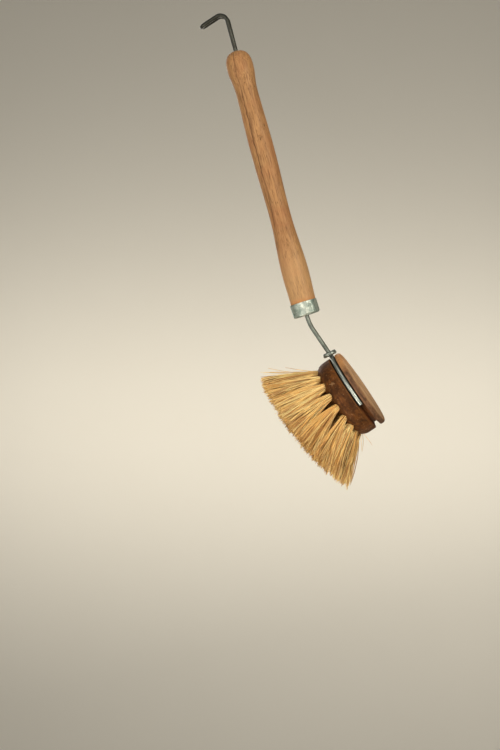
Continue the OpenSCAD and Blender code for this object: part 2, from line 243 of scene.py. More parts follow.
def makeHandle():
    spec = handleSet
    side = [p for p in widestOutline("handle", handleAxis) if p[1] > ferruleHigh.z - spec["overlap"]]
    bore, tenon = side[-1][0], side[0][0]
    edge = spec["tenonEdge"]
    low = [(bore, handleLow.z), (tenon - edge, handleLow.z), (tenon, handleLow.z + edge)]
    outline = low + smoothed(side, spec["cuts"])
    outline += steppedLine((bore, handleHigh.z), (bore, handleLow.z), spec["boreCuts"])[1:]
    piece = turnOnLathe("turnedHandle", outline, spec["sides"])
    settle(piece, Matrix.Translation((handleAxis.x, handleAxis.y, 0)))
    gaps, fades, marks, sunken = [], [], [], []
    first, last = spec["crack"][0][0], spec["crack"][-1][0]
    for corner in piece.data.vertices:
        x, y = corner.co.x - handleAxis.x, corner.co.y - handleAxis.y
        reach, depth = math.hypot(x, y), (handleHigh.z - corner.co.z) / mm
        turn = turnBetween(math.degrees(math.atan2(y, x)), spec["cameraSide"])
        outside = reach > bore + spec["skin"]
        wander = sum(swing * math.sin(depth * pace) for swing, pace in spec["wander"])
        middle = alongPath(spec["crack"], min(max(depth, first), last)) + wander
        gap = math.radians(turn - middle) * reach  # distance from the crack along the surface
        fade = min(1, (depth - first) / spec["fadeIn"] + 0.5, (last - depth) / spec["fadeOut"])
        fade = max(0, fade) if outside else 0
        gaps.append(gap / mm)
        fades.append(fade)
        sunken.append(fade * math.exp(-(gap / spec["crackHalf"]) ** 2))
        spots = [
            strength * math.exp(-((depth - at) / tall) ** 2 - (math.radians(turn - angle) * reach / (wide * mm)) ** 2)
            for at, angle, tall, wide, strength in spec["marks"]
        ]
        marks.append(max(spots) if outside else 0)
    group = piece.vertex_groups.new(name="sunken")
    for i, weight in enumerate(sunken):
        if weight > 0.01:
            group.add([i], weight, "REPLACE")
    paintPoints(piece, "crackGap", gaps)
    paintPoints(piece, "crackFade", fades)
    paintPoints(piece, "marks", marks)
    applyModifier(
        piece, "DISPLACE", strength=-spec["crackDepth"], mid_level=0, direction="NORMAL", vertex_group="sunken"
    )
    piece.vertex_groups.clear()
    smoothShade(piece, spec["shade"])
    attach(piece, "handle")
    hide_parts("handle")
    return piece


turnedHandle = makeHandle()
print("handle turned:", len(turnedHandle.data.polygons), "faces")


# Ferrule of galvanised sheet, crimped at two places
ferruleSet = {
    "sides": 128, "wall": 0.5 * mm, "edge": 1.3 * mm, "lip": 3.4 * mm, "roll": 0.16 * mm, "skin": 0.3 * mm,
    "skew": -2.6, "shade": 50, "cuts": {"lip": 5, "edge": 8, "side": 18, "roll": 3, "inside": 12, "inEdge": 5},
    "presses": [  # degrees round, then height, width, tallness and depth in mm
        (-62, 4.2, 1, 3.6, 0.55), (118, 4.2, 1, 3.6, 0.55), (-73, 1.6, 2.2, 2.4, 0.3), (-80, 0.2, 1.5, 1.2, 0.5),
        (-100, 1.2, 2.6, 2, 0.18), (-128, 3.4, 2.6, 2.6, 0.14), (-30, 5.6, 2.2, 2.2, 0.15), (40, 3, 3, 3, 0.2),
        (165, 4.5, 2.6, 2.6, 0.18),
    ],
    "burr": (-150, 0.5 * mm, 0.6 * mm),  # degrees round, width and how far it stands out
}


def makeFerrule():
    spec, cuts = ferruleSet, ferruleSet["cuts"]
    radius, tall = (ferruleHigh.y - ferruleLow.y) / 2, ferruleHigh.z - ferruleLow.z
    edge, roll, hole = spec["edge"], spec["roll"], radius - spec["lip"]
    inner = radius - spec["wall"]
    outline = [(hole, spec["wall"]), (hole, 0)]
    outline += steppedLine((hole + roll, 0), (radius - edge - roll, 0), cuts["lip"])
    outline += arcPoints((radius - edge, edge), edge, -90, 0, cuts["edge"])
    outline += steppedLine((radius, edge), (radius, tall - roll), cuts["side"])[1:]
    outline += arcPoints((radius - roll, tall - roll), roll, 20, 90, cuts["roll"])
    outline += [(inner, tall)] + steppedLine((inner, tall - roll), (inner, edge), cuts["inside"])
    outline += arcPoints((radius - edge, edge), edge - spec["wall"], -10, -90, cuts["inEdge"])
    outline += [outline[0]]
    piece = turnOnLathe("crimpedFerrule", outline, spec["sides"])
    burrSide, burrWide, burrOut = spec["burr"]
    for corner in piece.data.vertices:
        reach = math.hypot(corner.co.x, corner.co.y)
        out = Vector((corner.co.x, corner.co.y, 0)).normalized()
        turn = math.degrees(math.atan2(corner.co.y, corner.co.x))
        push = 0
        for angle, height, wide, tallness, depth in spec["presses"]:
            aside = math.radians(turnBetween(turn, angle)) * radius / (wide * mm)
            gap = math.hypot(aside, (corner.co.z / mm - height) / tallness)
            if gap < 1:
                push -= depth * mm * (1 - gap ** 2) ** 1.5
        aside = math.radians(turnBetween(turn, burrSide)) * radius / burrWide
        push += burrOut * math.exp(-aside ** 2 - ((tall - corner.co.z) / burrWide) ** 2)
        if reach > inner - spec["skin"]:
            corner.co += out * push
    smoothShade(piece, spec["shade"])
    middle = Vector((handleAxis.x, handleAxis.y, (ferruleLow.z + ferruleHigh.z) / 2))
    skew = Matrix.Rotation(math.radians(spec["skew"]), 4, "Y")  # it was pressed on a little crooked
    settle(piece, Matrix.Translation(middle) @ skew @ Matrix.Translation((0, 0, -tall / 2)))
    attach(piece, "handle")
    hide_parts("ferrule")
    return piece


crimpedFerrule = makeFerrule()
print("ferrule pressed:", len(crimpedFerrule.data.polygons), "faces")


# Hanger wire, lock ring and the two prongs of the clip
hanger = {
    "rise": 18.7 * mm, "bend": 4.3 * mm, "bendAngle": 107, "reach": 8.3 * mm, "eyeGap": 3.2 * mm, "eyeTurn": 8,
    "eyeBend": 10 * mm, "eyeLead": 2 * mm, "neckLead": 0.5 * mm, "neckBend": 27 * mm, "neckRun": 17.6 * mm,
}
ringSet = {
    "wire": 0.85 * mm, "clear": 0.25 * mm, "tilt": 9, "gap": 2.4 * mm, "wide": 1.5, "thin": 0.8, "sides": 72,
    "wireSides": 20, "shade": 60,
}
prong = {
    "start": 0.6 * mm, "gap": 0.05 * mm, "bend": 3.5 * mm, "wrap": 19.5, "clear": 0.8 * mm, "endEdge": 0.22 * mm,
    "endAngle": 50,
}
ringOut = headRadius + ringSet["gap"]
splitOut = ringOut - prong["start"]


def makeHanger():
    neckAngle = math.degrees(math.acos(-awayFromHandle.z))
    eyeSide = wire["radius"] + hanger["eyeGap"] / 2
    turn = math.radians(hanger["eyeTurn"])
    slant = (eyeSide - legSide - 2 * hanger["eyeBend"] * (1 - math.cos(turn))) / math.sin(turn)
    boreTop = -hanger["rise"] - hanger["bend"] + wire["radius"]
    rise = hanger["rise"] - hanger["eyeLead"] - 2 * hanger["eyeBend"] * math.sin(turn) - slant * math.cos(turn)
    half = [  # one leg, from the clip up to the hook
        (hanger["neckRun"] + prong["start"] - prong["gap"],), (hanger["neckBend"], neckAngle, 0),
        (hanger["neckLead"] + boreTop - ferruleLow.z + hanger["eyeLead"],), (hanger["eyeBend"], hanger["eyeTurn"], 90),
        (slant,), (hanger["eyeBend"], hanger["eyeTurn"], -90), (rise,),
        (hanger["bend"], hanger["bendAngle"], 180), (hanger["reach"],),
    ]
    start = headFrame @ Matrix.Translation((-splitOut - prong["gap"], legSide, 0))
    start = start @ Matrix.Rotation(-math.pi / 2, 4, "Y")
    path = wirePath(start, half + [(eyeSide, 180, -90)] + half[::-1])
    piece = drawTubes("hangerWire", [[(place, 1) for place in path]], wire["radius"], wire["sides"])
    smoothShade(piece, wire["shade"])
    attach(piece, "handle")
    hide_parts("hanger_wire")
    return piece


def makeRing():
    radius = legSide + wire["radius"] + ringSet["clear"] + ringSet["wire"]
    pickOnly(None)
    bpy.ops.mesh.primitive_torus_add(
        major_radius=radius, minor_radius=ringSet["wire"], major_segments=ringSet["sides"],
        minor_segments=ringSet["wireSides"], location=(0, 0, 0),
    )
    piece = bpy.context.object
    piece.name = "lockRing"
    for corner in piece.data.vertices:  # the wire is rolled a little flat
        out = Vector((corner.co.x, corner.co.y, 0)).normalized() * radius
        corner.co = out + (corner.co - out) * ringSet["thin"]
        corner.co.z *= ringSet["wide"] / ringSet["thin"]
    tilt = Matrix.Rotation(math.radians(90 + ringSet["tilt"]), 4, "Y")
    settle(piece, headFrame @ Matrix.Translation((-ringOut, 0, 0)) @ tilt)
    smoothShade(piece, ringSet["shade"])
    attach(piece, "lock_ring")
    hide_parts("lock_ring")
    return piece


def makeProng(side, name, body):
    wrapRadius = headRadius - head["grooveDepth"] + prong["clear"] + wire["radius"]
    reach = math.hypot(legSide + prong["bend"], splitOut)
    turn = math.atan2(splitOut, legSide + prong["bend"]) - math.acos((wrapRadius + prong["bend"]) / reach)
    atX, atY = -splitOut + prong["bend"] * math.sin(turn), legSide + prong["bend"] * (1 - math.cos(turn))
    run = -(atX * math.cos(turn) + atY * math.sin(turn))
    start = Matrix.Translation((-splitOut, legSide, 0)) @ Matrix.Rotation(math.pi / 2, 4, "Z")
    start = start @ Matrix.Rotation(math.pi / 2, 4, "X")
    angle = math.degrees(turn)
    path = wirePath(start, [(prong["bend"], angle, 0), (run,), (wrapRadius, angle + prong["wrap"], 180)])
    path = [(headFrame @ Vector((p.x, side * p.y, p.z)), 1) for p in path]
    piece = drawTubes(name, [path], wire["radius"], wire["sides"])
    applyModifier(
        piece, "BEVEL", width=prong["endEdge"], segments=3, limit_method="ANGLE",
        angle_limit=math.radians(prong["endAngle"]),
    )
    smoothShade(piece, wire["shade"])
    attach(piece, body)
    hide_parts(body)
    return piece


hangerWire = makeHanger()
lockRing = makeRing()
leftProng = makeProng(1, "leftProng", "left_prong")
rightProng = makeProng(-1, "rightProng", "right_prong")
print("wires bent:", len(hangerWire.data.polygons), "faces in the hanger")


# Turned head with its drilled holes
tufts = {
    "turn": 4, "outerCount": 18, "outerSplay": 35, "hole": 2.3 * mm, "holeSides": 40, "depth": 8 * mm,
    "drillOut": 4 * mm, "root": 2 * mm, "length": 34 * mm, "sink": 2.2 * mm, "fill": 1.27,
}
outerSplay = math.radians(tufts["outerSplay"])
outerRadius = headRadius - head["corner"] * (1 - math.sin(outerSplay))
outerHeight = faceHeight + head["corner"] * (1 - math.cos(outerSplay))
tipHeight = outerHeight - tufts["length"] * math.cos(outerSplay)
tipRadius = outerRadius + tufts["length"] * math.sin(outerSplay)
outerRoom = tipRadius * math.sin(math.pi / tufts["outerCount"]) / mm  # half the way to the next tuft
rings = {  # along and across are half the spread of the tips, in mm
    "outer": {
        "count": tufts["outerCount"], "radius": outerRadius, "height": outerHeight, "splay": tufts["outerSplay"],
        "along": outerRoom * tufts["fill"], "across": 3.6, "fibres": 320, "ringShade": 0,
    },
    # painted shade: the tufts of the middle and inner rings have a darker tone
    "middle": {
        "count": 10, "radius": 0.52 * headRadius, "height": faceHeight, "splay": 18, "along": 6.6, "across": 6.6,
        "fibres": 240, "ringShade": 0.2,
    },
    "inner": {
        "count": 5, "radius": 0.22 * headRadius, "height": faceHeight, "splay": 7, "along": 4.6, "across": 4.6,
        "fibres": 170, "ringShade": 0.2,
    },
}


def rootPlace(ring, direction):  # root of a tuft at the surface, with Z along its bristles
    aim = Matrix.Rotation(math.radians(direction), 4, "Z") @ Matrix.Translation((ring["radius"], 0, ring["height"]))
    return aim @ Matrix.Rotation(math.radians(180 - ring["splay"]), 4, "Y")


def allTufts():
    for name, ring in rings.items():
        for i in range(ring["count"]):
            yield name, ring, i + 1, tufts["turn"] + (i + 0.5) * 360 / ring["count"]


def makeHead():
    back, groove, edge = head["plate"] + grooveHalf, headRadius - head["grooveDepth"], head["grooveEdge"]
    plateEdge, corner, slope = head["plateEdge"], head["corner"], math.radians(head["grooveAngle"])
    rim = grooveHalf + edge * (1 - math.sin(slope)) / math.cos(slope)
    floor = grooveHalf - head["grooveDepth"] * math.tan(slope)
    cuts = head["cuts"]
    outline = steppedLine((0, back), (headRadius - plateEdge, back), cuts["back"])[:-1]
    outline += arcPoints((headRadius - plateEdge, back - plateEdge), plateEdge, 90, 0, cuts["plateEdge"])
    outline += steppedLine((headRadius, back - plateEdge), (headRadius, rim), cuts["rim"])[1:-1]
    outline += arcPoints((headRadius - edge, rim), edge, 0, head["grooveAngle"] - 90, cuts["lip"])
    outline += [(groove, floor), (groove, -floor)]
    outline += arcPoints((headRadius - edge, -rim), edge, 90 - head["grooveAngle"], 0, cuts["lip"])
    outline += steppedLine((headRadius, -rim), (headRadius, faceHeight + corner), cuts["side"])[1:-1]
    outline += arcPoints((headRadius - corner, faceHeight + corner), corner, 0, -90, cuts["corner"])
    outline += steppedLine((headRadius - corner, faceHeight), (0, faceHeight), cuts["face"])[1:]
    piece = turnOnLathe("brushHead", outline, head["sides"])
    pickOnly(None)
    drills = []
    drillOut, depth = tufts["drillOut"], tufts["depth"]
    for _, ring, _, direction in allTufts():
        bpy.ops.mesh.primitive_cylinder_add(vertices=tufts["holeSides"], radius=tufts["hole"], depth=depth + drillOut)
        drill = bpy.context.object
        settle(drill, rootPlace(ring, direction) @ Matrix.Translation((0, 0, (drillOut - depth) / 2)))
        drills.append(drill)
    pickOnly(drills[0])
    for drill in drills:
        drill.select_set(True)
    bpy.ops.object.join()
    cutter = bpy.context.object
    applyModifier(piece, "BOOLEAN", operation="DIFFERENCE", object=cutter, solver="EXACT")
    bpy.data.objects.remove(cutter)
    smoothShade(piece, head["shade"])
    settle(piece, headFrame)
    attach(piece, "head")
    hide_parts("head_block")
    return piece


brushHead = makeHead()
print("head drilled:", len(brushHead.data.polygons), "faces")


# Tufts of plant fibre, in clumps of separate fibres
fibreSet = {
    "thick": 0.19 * mm, "sides": 4, "points": (0, 0.12, 0.28, 0.5, 0.75, 1), "taper": 0.4, "thickness": (0.7, 1.3),
    "bound": 0.05, "fan": 1.1, "lean": 7.5 * mm, "leanRise": 1.25, "farLean": 0.3, "level": 0.45,
    "sideLength": 1.01, "nearLength": 0.94, "farLength": 0.89, "innerLength": 1.07, "frontWear": 0.07, "ease": 2.5,
    "clumps": 26, "clumpTurn": 2.4, "clumpTip": 0.55 * mm, "clumpCurve": 0.6 * mm, "clumpReach": (1.02, 0.05, 1.03),
    "rootSpread": 0.16 * mm, "tipSpread": 0.5 * mm, "curveSpread": 0.22 * mm, "reachSpread": (-0.015, 0.028),
    "oddShare": 0.05, "oddSpread": 2.6 * mm, "broken": 0.12,
    "clumpTone": 0.92, "innerSideShade": 0.2, "toneMix": (0.7, 0.3),
    "loose": {"outer 16": 1.2, "outer 17": 1.6, "outer 18": 2.5, "outer 1": 2.5}, "looseTip": 1.6, "looseThin": 1.2,
    "strayThick": 0.9, "strayTone": 0.55,
    "strays": {  # tip aside in mm and share of the length
        "outer 9": [(-3, 2, 0.95)], "outer 10": [(-2, 1, 0.78), (-4.5, -1, 0.6), (-1, -3, 0.9)],
        "outer 18": [(-11, 1, 0.12), (-6, 3, 0.3)], "outer 1": [(-8, 5, 0.4)], "outer 13": [(-5, 2, 0.9)],
        "outer 4": [(-6, -3, 0.7)],
    },
}


def fibrePath(root, tip, lean, reach, curve, thick):
    points = []
    for share in fibreSet["points"]:
        fan = (max(0, share - fibreSet["bound"]) / (1 - fibreSet["bound"])) ** fibreSet["fan"]
        bow = curve * math.sin(math.pi * share)
        side = root + (tip - root) * fan + lean * share ** fibreSet["leanRise"] + bow
        height = -tufts["sink"] + (reach + tufts["sink"]) * share
        points.append((Vector((side.x, side.y, height)), thick * (1 - fibreSet["taper"] * share ** 3)))
    return points


def scatter(dice, spread):
    return Vector((dice.gauss(0, spread), dice.gauss(0, spread)))


def makeClumps(dice, ring, loose):
    spec, clumps = fibreSet, []
    shortest, ragged, longest = spec["clumpReach"]
    for i in range(spec["clumps"]):
        turn, off = i * spec["clumpTurn"], math.sqrt((i + 0.5) / spec["clumps"])
        middle = Vector((math.cos(turn), math.sin(turn))) * off
        tip = Vector((middle.x * ring["across"], middle.y * ring["along"])) * mm
        tip = tip + scatter(dice, spec["clumpTip"] * loose ** spec["looseTip"])
        # painted shade: clumps on the inner side of a tuft get a darker tone
        tone = spec["clumpTone"] * dice.random() + spec["innerSideShade"] * max(0, middle.x) + ring["ringShade"]
        curve = scatter(dice, spec["clumpCurve"] * loose)
        reach = dice.uniform(shortest - ragged * loose, longest)
        clumps.append((middle * tufts["root"], tip, tone, curve, reach))
    return clumps


def makeTuft(name, ring, number, direction):
    spec, label = fibreSet, f"{name} {number}"
    dice = random.Random(label)
    splay, side = math.radians(ring["splay"]), math.radians(direction)
    length = (ring["height"] - tipHeight) / math.cos(splay)
    far, near, front = (max(0, s) ** spec["ease"] for s in (math.cos(side), -math.cos(side), -math.sin(side)))
    worn = spec["sideLength"] * (1 - far - near) + spec["farLength"] * far + spec["nearLength"] * near
    worn -= spec["frontWear"] * front  # the side in use
    length *= worn if name == "outer" else spec["innerLength"]
    lean = Vector((math.cos(side) * math.cos(splay), math.sin(side))) * -spec["lean"]
    lean = lean * (1 + (spec["farLean"] - 1) * far)
    place = headFrame @ rootPlace(ring, direction)
    loose = spec["loose"].get(label, 1)
    clumps = makeClumps(dice, ring, loose)
    paths, tones = [], []
    for i in range(int(ring["fibres"] / loose ** spec["looseThin"])):
        root, tip, tone, curve, reach = clumps[i % len(clumps)]
        odd = dice.random()  # a few fibres stand out from their clump or are broken off
        root = root + scatter(dice, spec["rootSpread"])
        tip = tip + scatter(dice, spec["oddSpread"] if odd < spec["oddShare"] else spec["tipSpread"])
        broken = spec["broken"] if odd > 1 - spec["oddShare"] else 0
        reach = length * (reach + dice.gauss(*spec["reachSpread"]) - broken)
        reach -= tip.x * math.tan(splay) * spec["level"]  # the tips are cut nearly level
        curve = curve + scatter(dice, spec["curveSpread"])
        paths.append(fibrePath(root, tip, lean, reach, curve, dice.uniform(*spec["thickness"])))
        tones.append(min(1, max(0, spec["toneMix"][0] * tone + spec["toneMix"][1] * dice.random())))
    for x, y, share in spec["strays"].get(label, []):
        root, tip = Vector((-tufts["root"], 0)), Vector((x, y)) * mm
        paths.append(fibrePath(root, tip, Vector((0, 0)), length * share, scatter(dice, mm), spec["strayThick"]))
        tones.append(spec["strayTone"])
    paths = [[(place @ point, thickness) for point, thickness in path] for path in paths]
    piece = drawTubes(f"fibres_{name}_{number:02d}", paths, spec["thick"], spec["sides"])
    count = len(piece.data.vertices)
    corners = count // len(paths)
    rounds = corners // spec["sides"]
    paintPoints(piece, "fibreTone", [tones[i // corners] for i in range(count)])
    paintPoints(piece, "fibreAlong", [i % corners // spec["sides"] / (rounds - 1) for i in range(count)])
    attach(piece, "head")
    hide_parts(f"tuft_{name}_{number:02d}")
    return piece


fibreTufts = [makeTuft(*tuft) for tuft in allTufts()]
print("tufts set:", len(fibreTufts), "with", sum(len(t.data.polygons) for t in fibreTufts), "faces")


# Materials
def tint(red, green, blue):  # a display colour from 0 to 255, as linear light
    values = [c / 255 for c in (red, green, blue)]
    return (*[c / 12.92 if c <= 0.04045 else ((c + 0.055) / 1.055) ** 2.4 for c in values], 1)


def addNode(tree, kind, settings=None, **sockets):
    node = tree.nodes.new("ShaderNode" + kind)
    for key, value in (settings or {}).items():
        setattr(node, key, value)
    for key, value in sockets.items():
        feed(tree, value, node.inputs[key])
    return node


def feed(tree, value, socket):  # links a socket or sets a constant on it
    if isinstance(value, bpy.types.NodeSocket):
        tree.links.new(value, socket)
    else:
        socket.default_value = value


def calc(tree, operation, first, second=0.0):
    node = addNode(tree, "Math", {"operation": operation})
    feed(tree, first, node.inputs[0])
    feed(tree, second, node.inputs[1])
    return node.outputs[0]


def times(tree, first, second):
    return calc(tree, "MULTIPLY", first, second)


def rise(tree, share, spread, least):
    return calc(tree, "ADD", times(tree, share, spread), least)


def squeeze(tree, value, low, high):  # 0 below low, 1 above high
    node = addNode(tree, "MapRange", {"interpolation_type": "SMOOTHSTEP"}, **{"From Min": low, "From Max": high})
    feed(tree, value, node.inputs["Value"])
    return node.outputs["Result"]


def blend(tree, share, first, second):
    node = addNode(tree, "Mix", {"data_type": "RGBA"})
    feed(tree, share, node.inputs[0])
    feed(tree, first, node.inputs[6])
    feed(tree, second, node.inputs[7])
    return node.outputs[2]


def wash(tree, colour, share, amount, second):  # part of a second colour over the first
    return blend(tree, times(tree, share, amount), colour, second)


def noise(tree, vector, scale, detail, rough, warp=0.0):
    node = addNode(tree, "TexNoise", Scale=scale, Detail=detail, Roughness=rough, Distortion=warp)
    tree.links.new(vector, node.inputs["Vector"])
    return node.outputs["Fac"]


def newGroup(name, inputs, outputs):  # sockets as label and kind
    tree = bpy.data.node_groups.new(name, "ShaderNodeTree")
    for label, kind in inputs.items():
        tree.interface.new_socket(label, in_out="INPUT", socket_type="NodeSocket" + kind)
    for label, kind in outputs.items():
        tree.interface.new_socket(label, in_out="OUTPUT", socket_type="NodeSocket" + kind)
    return tree, tree.nodes.new("NodeGroupInput").outputs, tree.nodes.new("NodeGroupOutput").inputs


def useGroup(tree, group, **sockets):
    node = tree.nodes.new("ShaderNodeGroup")
    node.node_tree = group
    for key, value in sockets.items():
        feed(tree, value, node.inputs[key])
    return node.outputs


def newMaterial(name, **constants):
    material = bpy.data.materials.new(name)
    material.use_nodes = True
    tree = material.node_tree
    shader = tree.nodes["Principled BSDF"]
    for key, value in constants.items():
        shader.inputs[key.replace("_", " ")].default_value = value
    coordinates = tree.nodes.new("ShaderNodeTexCoord").outputs["Object"]
    return material, tree, shader, coordinates


def finishPaint(tree, shader, spec, colour, share, height=None):  # roughness rises with the share
    tree.links.new(colour, shader.inputs["Base Color"])
    tree.links.new(rise(tree, share, *spec["rough"]), shader.inputs["Roughness"])
    if height is not None:
        distance, strength = spec["bump"]
        node = addNode(tree, "Bump", Strength=strength, Distance=distance, Height=height)
        tree.links.new(node.outputs["Normal"], shader.inputs["Normal"])


grainSet = {  # a noise is its scale, detail, roughness and distortion
    "broad": (1, 3, 0.55, 0.7), "fine": (2.4, 3, 0.65, 0.3), "pores": (5.5, 1, 0.5),
    "broadRange": (0.36, 0.68), "fineRange": (0.44, 0.7), "fineShare": 0.7, "poreRange": (0.62, 0.74),
    "poreShare": 0.55, "poreTint": (0.02, 0.008, 0.003, 1), "ridges": 0.6, "pits": 0.8,
}
scratchSet = {"turns": ((0.4, 0.9, 0.2), (-0.7, 0.3, 1.1)), "stretch": (1, 0.06, 1), "range": (0.69, 0.75)}


def buildWoodGrain():  # grain runs along Z of the vector
    spec = grainSet
    tree, enter, leave = newGroup("woodGrain", {
        "Vector": "Vector", "Scale": "Float", "Stretch": "Float", "Pale": "Color", "Dark": "Color",
        "Streaks": "Float", "Flecks": "Float",
    }, {"Color": "Color", "Height": "Float"})
    along = calc(tree, "DIVIDE", enter["Scale"], enter["Stretch"])
    size = addNode(tree, "CombineXYZ", X=enter["Scale"], Y=enter["Scale"], Z=along)
    place = addNode(tree, "VectorMath", {"operation": "MULTIPLY"})
    tree.links.new(enter["Vector"], place.inputs[0])
    tree.links.new(size.outputs[0], place.inputs[1])
    broad, fine, pores = [noise(tree, place.outputs[0], *spec[name]) for name in ("broad", "fine", "pores")]
    streaks = times(tree, squeeze(tree, broad, *spec["broadRange"]), enter["Streaks"])
    colour = blend(tree, streaks, enter["Pale"], enter["Dark"])
    colour = wash(tree, colour, squeeze(tree, fine, *spec["fineRange"]), spec["fineShare"], enter["Dark"])
    flecks = times(tree, squeeze(tree, pores, *spec["poreRange"]), enter["Flecks"])
    dark = blend(tree, spec["poreShare"], enter["Dark"], spec["poreTint"])
    tree.links.new(blend(tree, flecks, colour, dark), leave["Color"])
    height = calc(tree, "SUBTRACT", times(tree, fine, spec["ridges"]), times(tree, flecks, spec["pits"]))
    tree.links.new(height, leave["Height"])
    return tree


def buildMottle():  # soft patches with finer ones in them
    tree, enter, leave = newGroup(
        "mottle", {"Vector": "Vector", "Scale": "Float", "Low": "Float", "High": "Float"}, {"Value": "Float"}
    )
    patches = noise(tree, enter["Vector"], enter["Scale"], 5, 0.62, 0.4)
    tree.links.new(squeeze(tree, patches, enter["Low"], enter["High"]), leave["Value"])
    return tree


def buildScratches():  # thin short lines in two directions
    tree, enter, leave = newGroup(
        "scratches", {"Vector": "Vector", "Scale": "Float", "Amount": "Float"}, {"Value": "Float"}
    )
    lines = []
    for turn in scratchSet["turns"]:
        aim = addNode(tree, "Mapping", Rotation=turn, Scale=scratchSet["stretch"])
        tree.links.new(enter["Vector"], aim.inputs["Vector"])
        lines.append(squeeze(tree, noise(tree, aim.outputs[0], enter["Scale"], 1, 0.4), *scratchSet["range"]))
    both = calc(tree, "MAXIMUM", lines[0], lines[1])
    tree.links.new(times(tree, both, enter["Amount"]), leave["Value"])
    return tree


woodGrain, mottle, scratches = buildWoodGrain(), buildMottle(), buildScratches()


def patchesAt(tree, at, scale, low, high):
    return useGroup(tree, mottle, Vector=at, Scale=scale, Low=low, High=high)["Value"]


def scratchesAt(tree, at, scale, amount):
    return useGroup(tree, scratches, Vector=at, Scale=scale, Amount=amount)["Value"]


def splitVector(tree, vector):
    return addNode(tree, "SeparateXYZ", Vector=vector).outputs


def attribute(tree, name):
    return addNode(tree, "Attribute", {"attribute_name": name}).outputs["Fac"]


beechSet = {  # a wash is how much of which colour
    "grain": {
        "Scale": 640, "Stretch": 14, "Pale": tint(179, 132, 83), "Dark": tint(110, 71, 39), "Streaks": 0.4, "Flecks": 1,
    },
    "patches": (55, 0.42, 0.68), "patchWash": (0.5, tint(160, 104, 66)),
    "lowEnd": (ferruleHigh.z + 3.2 * mm, ferruleHigh.z + 0.2 * mm), "lowWash": (0.65, tint(176, 96, 34)),
    # painted light: the handle is painted paler over its lowest part, above the ferrule
    "flare": (ferruleHigh.z + 44 * mm, ferruleHigh.z + 18 * mm), "flareWash": (0.35, tint(206, 164, 112)),
    "markWash": (0.75, tint(88, 52, 27)), "wander": (240, 3, 0.6), "wanderWide": (0.5, -0.25),
    "depths": (90, 2, 0.5), "depthRange": (0.3, 0.6),
    # painted shade along the crack: a soft dark band, and a dark core that is partly grime in the split and partly
    # painted shade
    "crackShadeWidth": (1.7, 0.2), "crackShadeWash": (0.2, tint(104, 64, 32)),
    "coreWidth": (0.36, 0.05), "coreShare": (0.65, 0.3), "coreFade": (0, 0.4), "core": tint(66, 37, 19),
    "rough": (0.12, 0.52), "bump": (0.14 * mm, 0.6),
}


def makeBeech():
    spec = beechSet
    material, tree, shader, at = newMaterial("beechHandle", Specular_IOR_Level=0.2)
    grain = useGroup(tree, woodGrain, Vector=at, **spec["grain"])
    patches = patchesAt(tree, at, *spec["patches"])
    colour = wash(tree, grain["Color"], patches, *spec["patchWash"])
    height = splitVector(tree, at)["Z"]
    colour = wash(tree, colour, squeeze(tree, height, *spec["lowEnd"]), *spec["lowWash"])
    # painted light: paler over the lowest part of the handle
    colour = wash(tree, colour, squeeze(tree, height, *spec["flare"]), *spec["flareWash"])
    colour = wash(tree, colour, attribute(tree, "marks"), *spec["markWash"])
    wander = rise(tree, noise(tree, at, *spec["wander"]), *spec["wanderWide"])
    gap = calc(tree, "ABSOLUTE", calc(tree, "ADD", attribute(tree, "crackGap"), wander))
    fade = attribute(tree, "crackFade")
    depth = times(tree, squeeze(tree, noise(tree, at, *spec["depths"]), *spec["depthRange"]), fade)
    # painted shade beside the crack, then its dark core, partly grime and partly painted shade
    crackShadeShare, crackShadeTint = spec["crackShadeWash"]
    crackShade = times(tree, squeeze(tree, gap, *spec["crackShadeWidth"]), times(tree, fade, crackShadeShare))
    colour = blend(tree, crackShade, colour, crackShadeTint)
    core = times(tree, squeeze(tree, gap, *spec["coreWidth"]), rise(tree, depth, *spec["coreShare"]))
    colour = blend(tree, times(tree, core, squeeze(tree, fade, *spec["coreFade"])), colour, spec["core"])
    finishPaint(tree, shader, spec, colour, patches, grain["Height"])
    return material


def mottledMetal(tree, at, spec):  # patches of two sizes, with scratches
    broad, fine = patchesAt(tree, at, *spec["broad"]), patchesAt(tree, at, *spec["fine"])
    lines = scratchesAt(tree, at, *spec["lines"])
    colour = wash(tree, blend(tree, broad, *spec["metal"]), fine, *spec["fineWash"])
    return broad, fine, lines, blend(tree, lines, colour, spec["lineTint"])


zincSet = {
    "broad": (320, 0.4, 0.62), "fine": (1300, 0.45, 0.7), "lines": (2200, 0.5), "lineTint": tint(222, 224, 210),
    "metal": (tint(160, 168, 154), tint(118, 132, 121)), "fineWash": (0.4, tint(112, 122, 110)),
    # painted highlight: these entries put a bright patch on the front of the ferrule
    "highlightAside": 0.4 * mm, "highlightWidth": (3.8 * mm, 0.6 * mm), "highlightFront": (0, -6 * mm),
    "highlightShare": (-0.35, 0.62), "paintedHighlight": tint(242, 243, 226), "rough": (0.14, 0.42), "fineBump": 0.4,
    "bump": (0.08 * mm, 0.5),
}


def makeGalvanised():
    spec = zincSet
    material, tree, shader, at = newMaterial("galvanisedFerrule", Metallic=0.7)
    broad, fine, _, colour = mottledMetal(tree, at, spec)
    parts = splitVector(tree, at)
    aside = calc(tree, "ABSOLUTE", calc(tree, "SUBTRACT", parts["X"], handleAxis.x + spec["highlightAside"]))
    front = squeeze(tree, parts["Y"], *spec["highlightFront"])
    paintedHighlight = times(tree, squeeze(tree, aside, *spec["highlightWidth"]), front)
    paintedHighlight = times(tree, paintedHighlight, rise(tree, broad, *spec["highlightShare"]))
    colour = blend(tree, paintedHighlight, colour, spec["paintedHighlight"])  # painted highlight: a bright patch on the ferrule's front side
    bumps = calc(tree, "ADD", broad, times(tree, fine, spec["fineBump"]))
    finishPaint(tree, shader, spec, colour, broad, bumps)
    return material


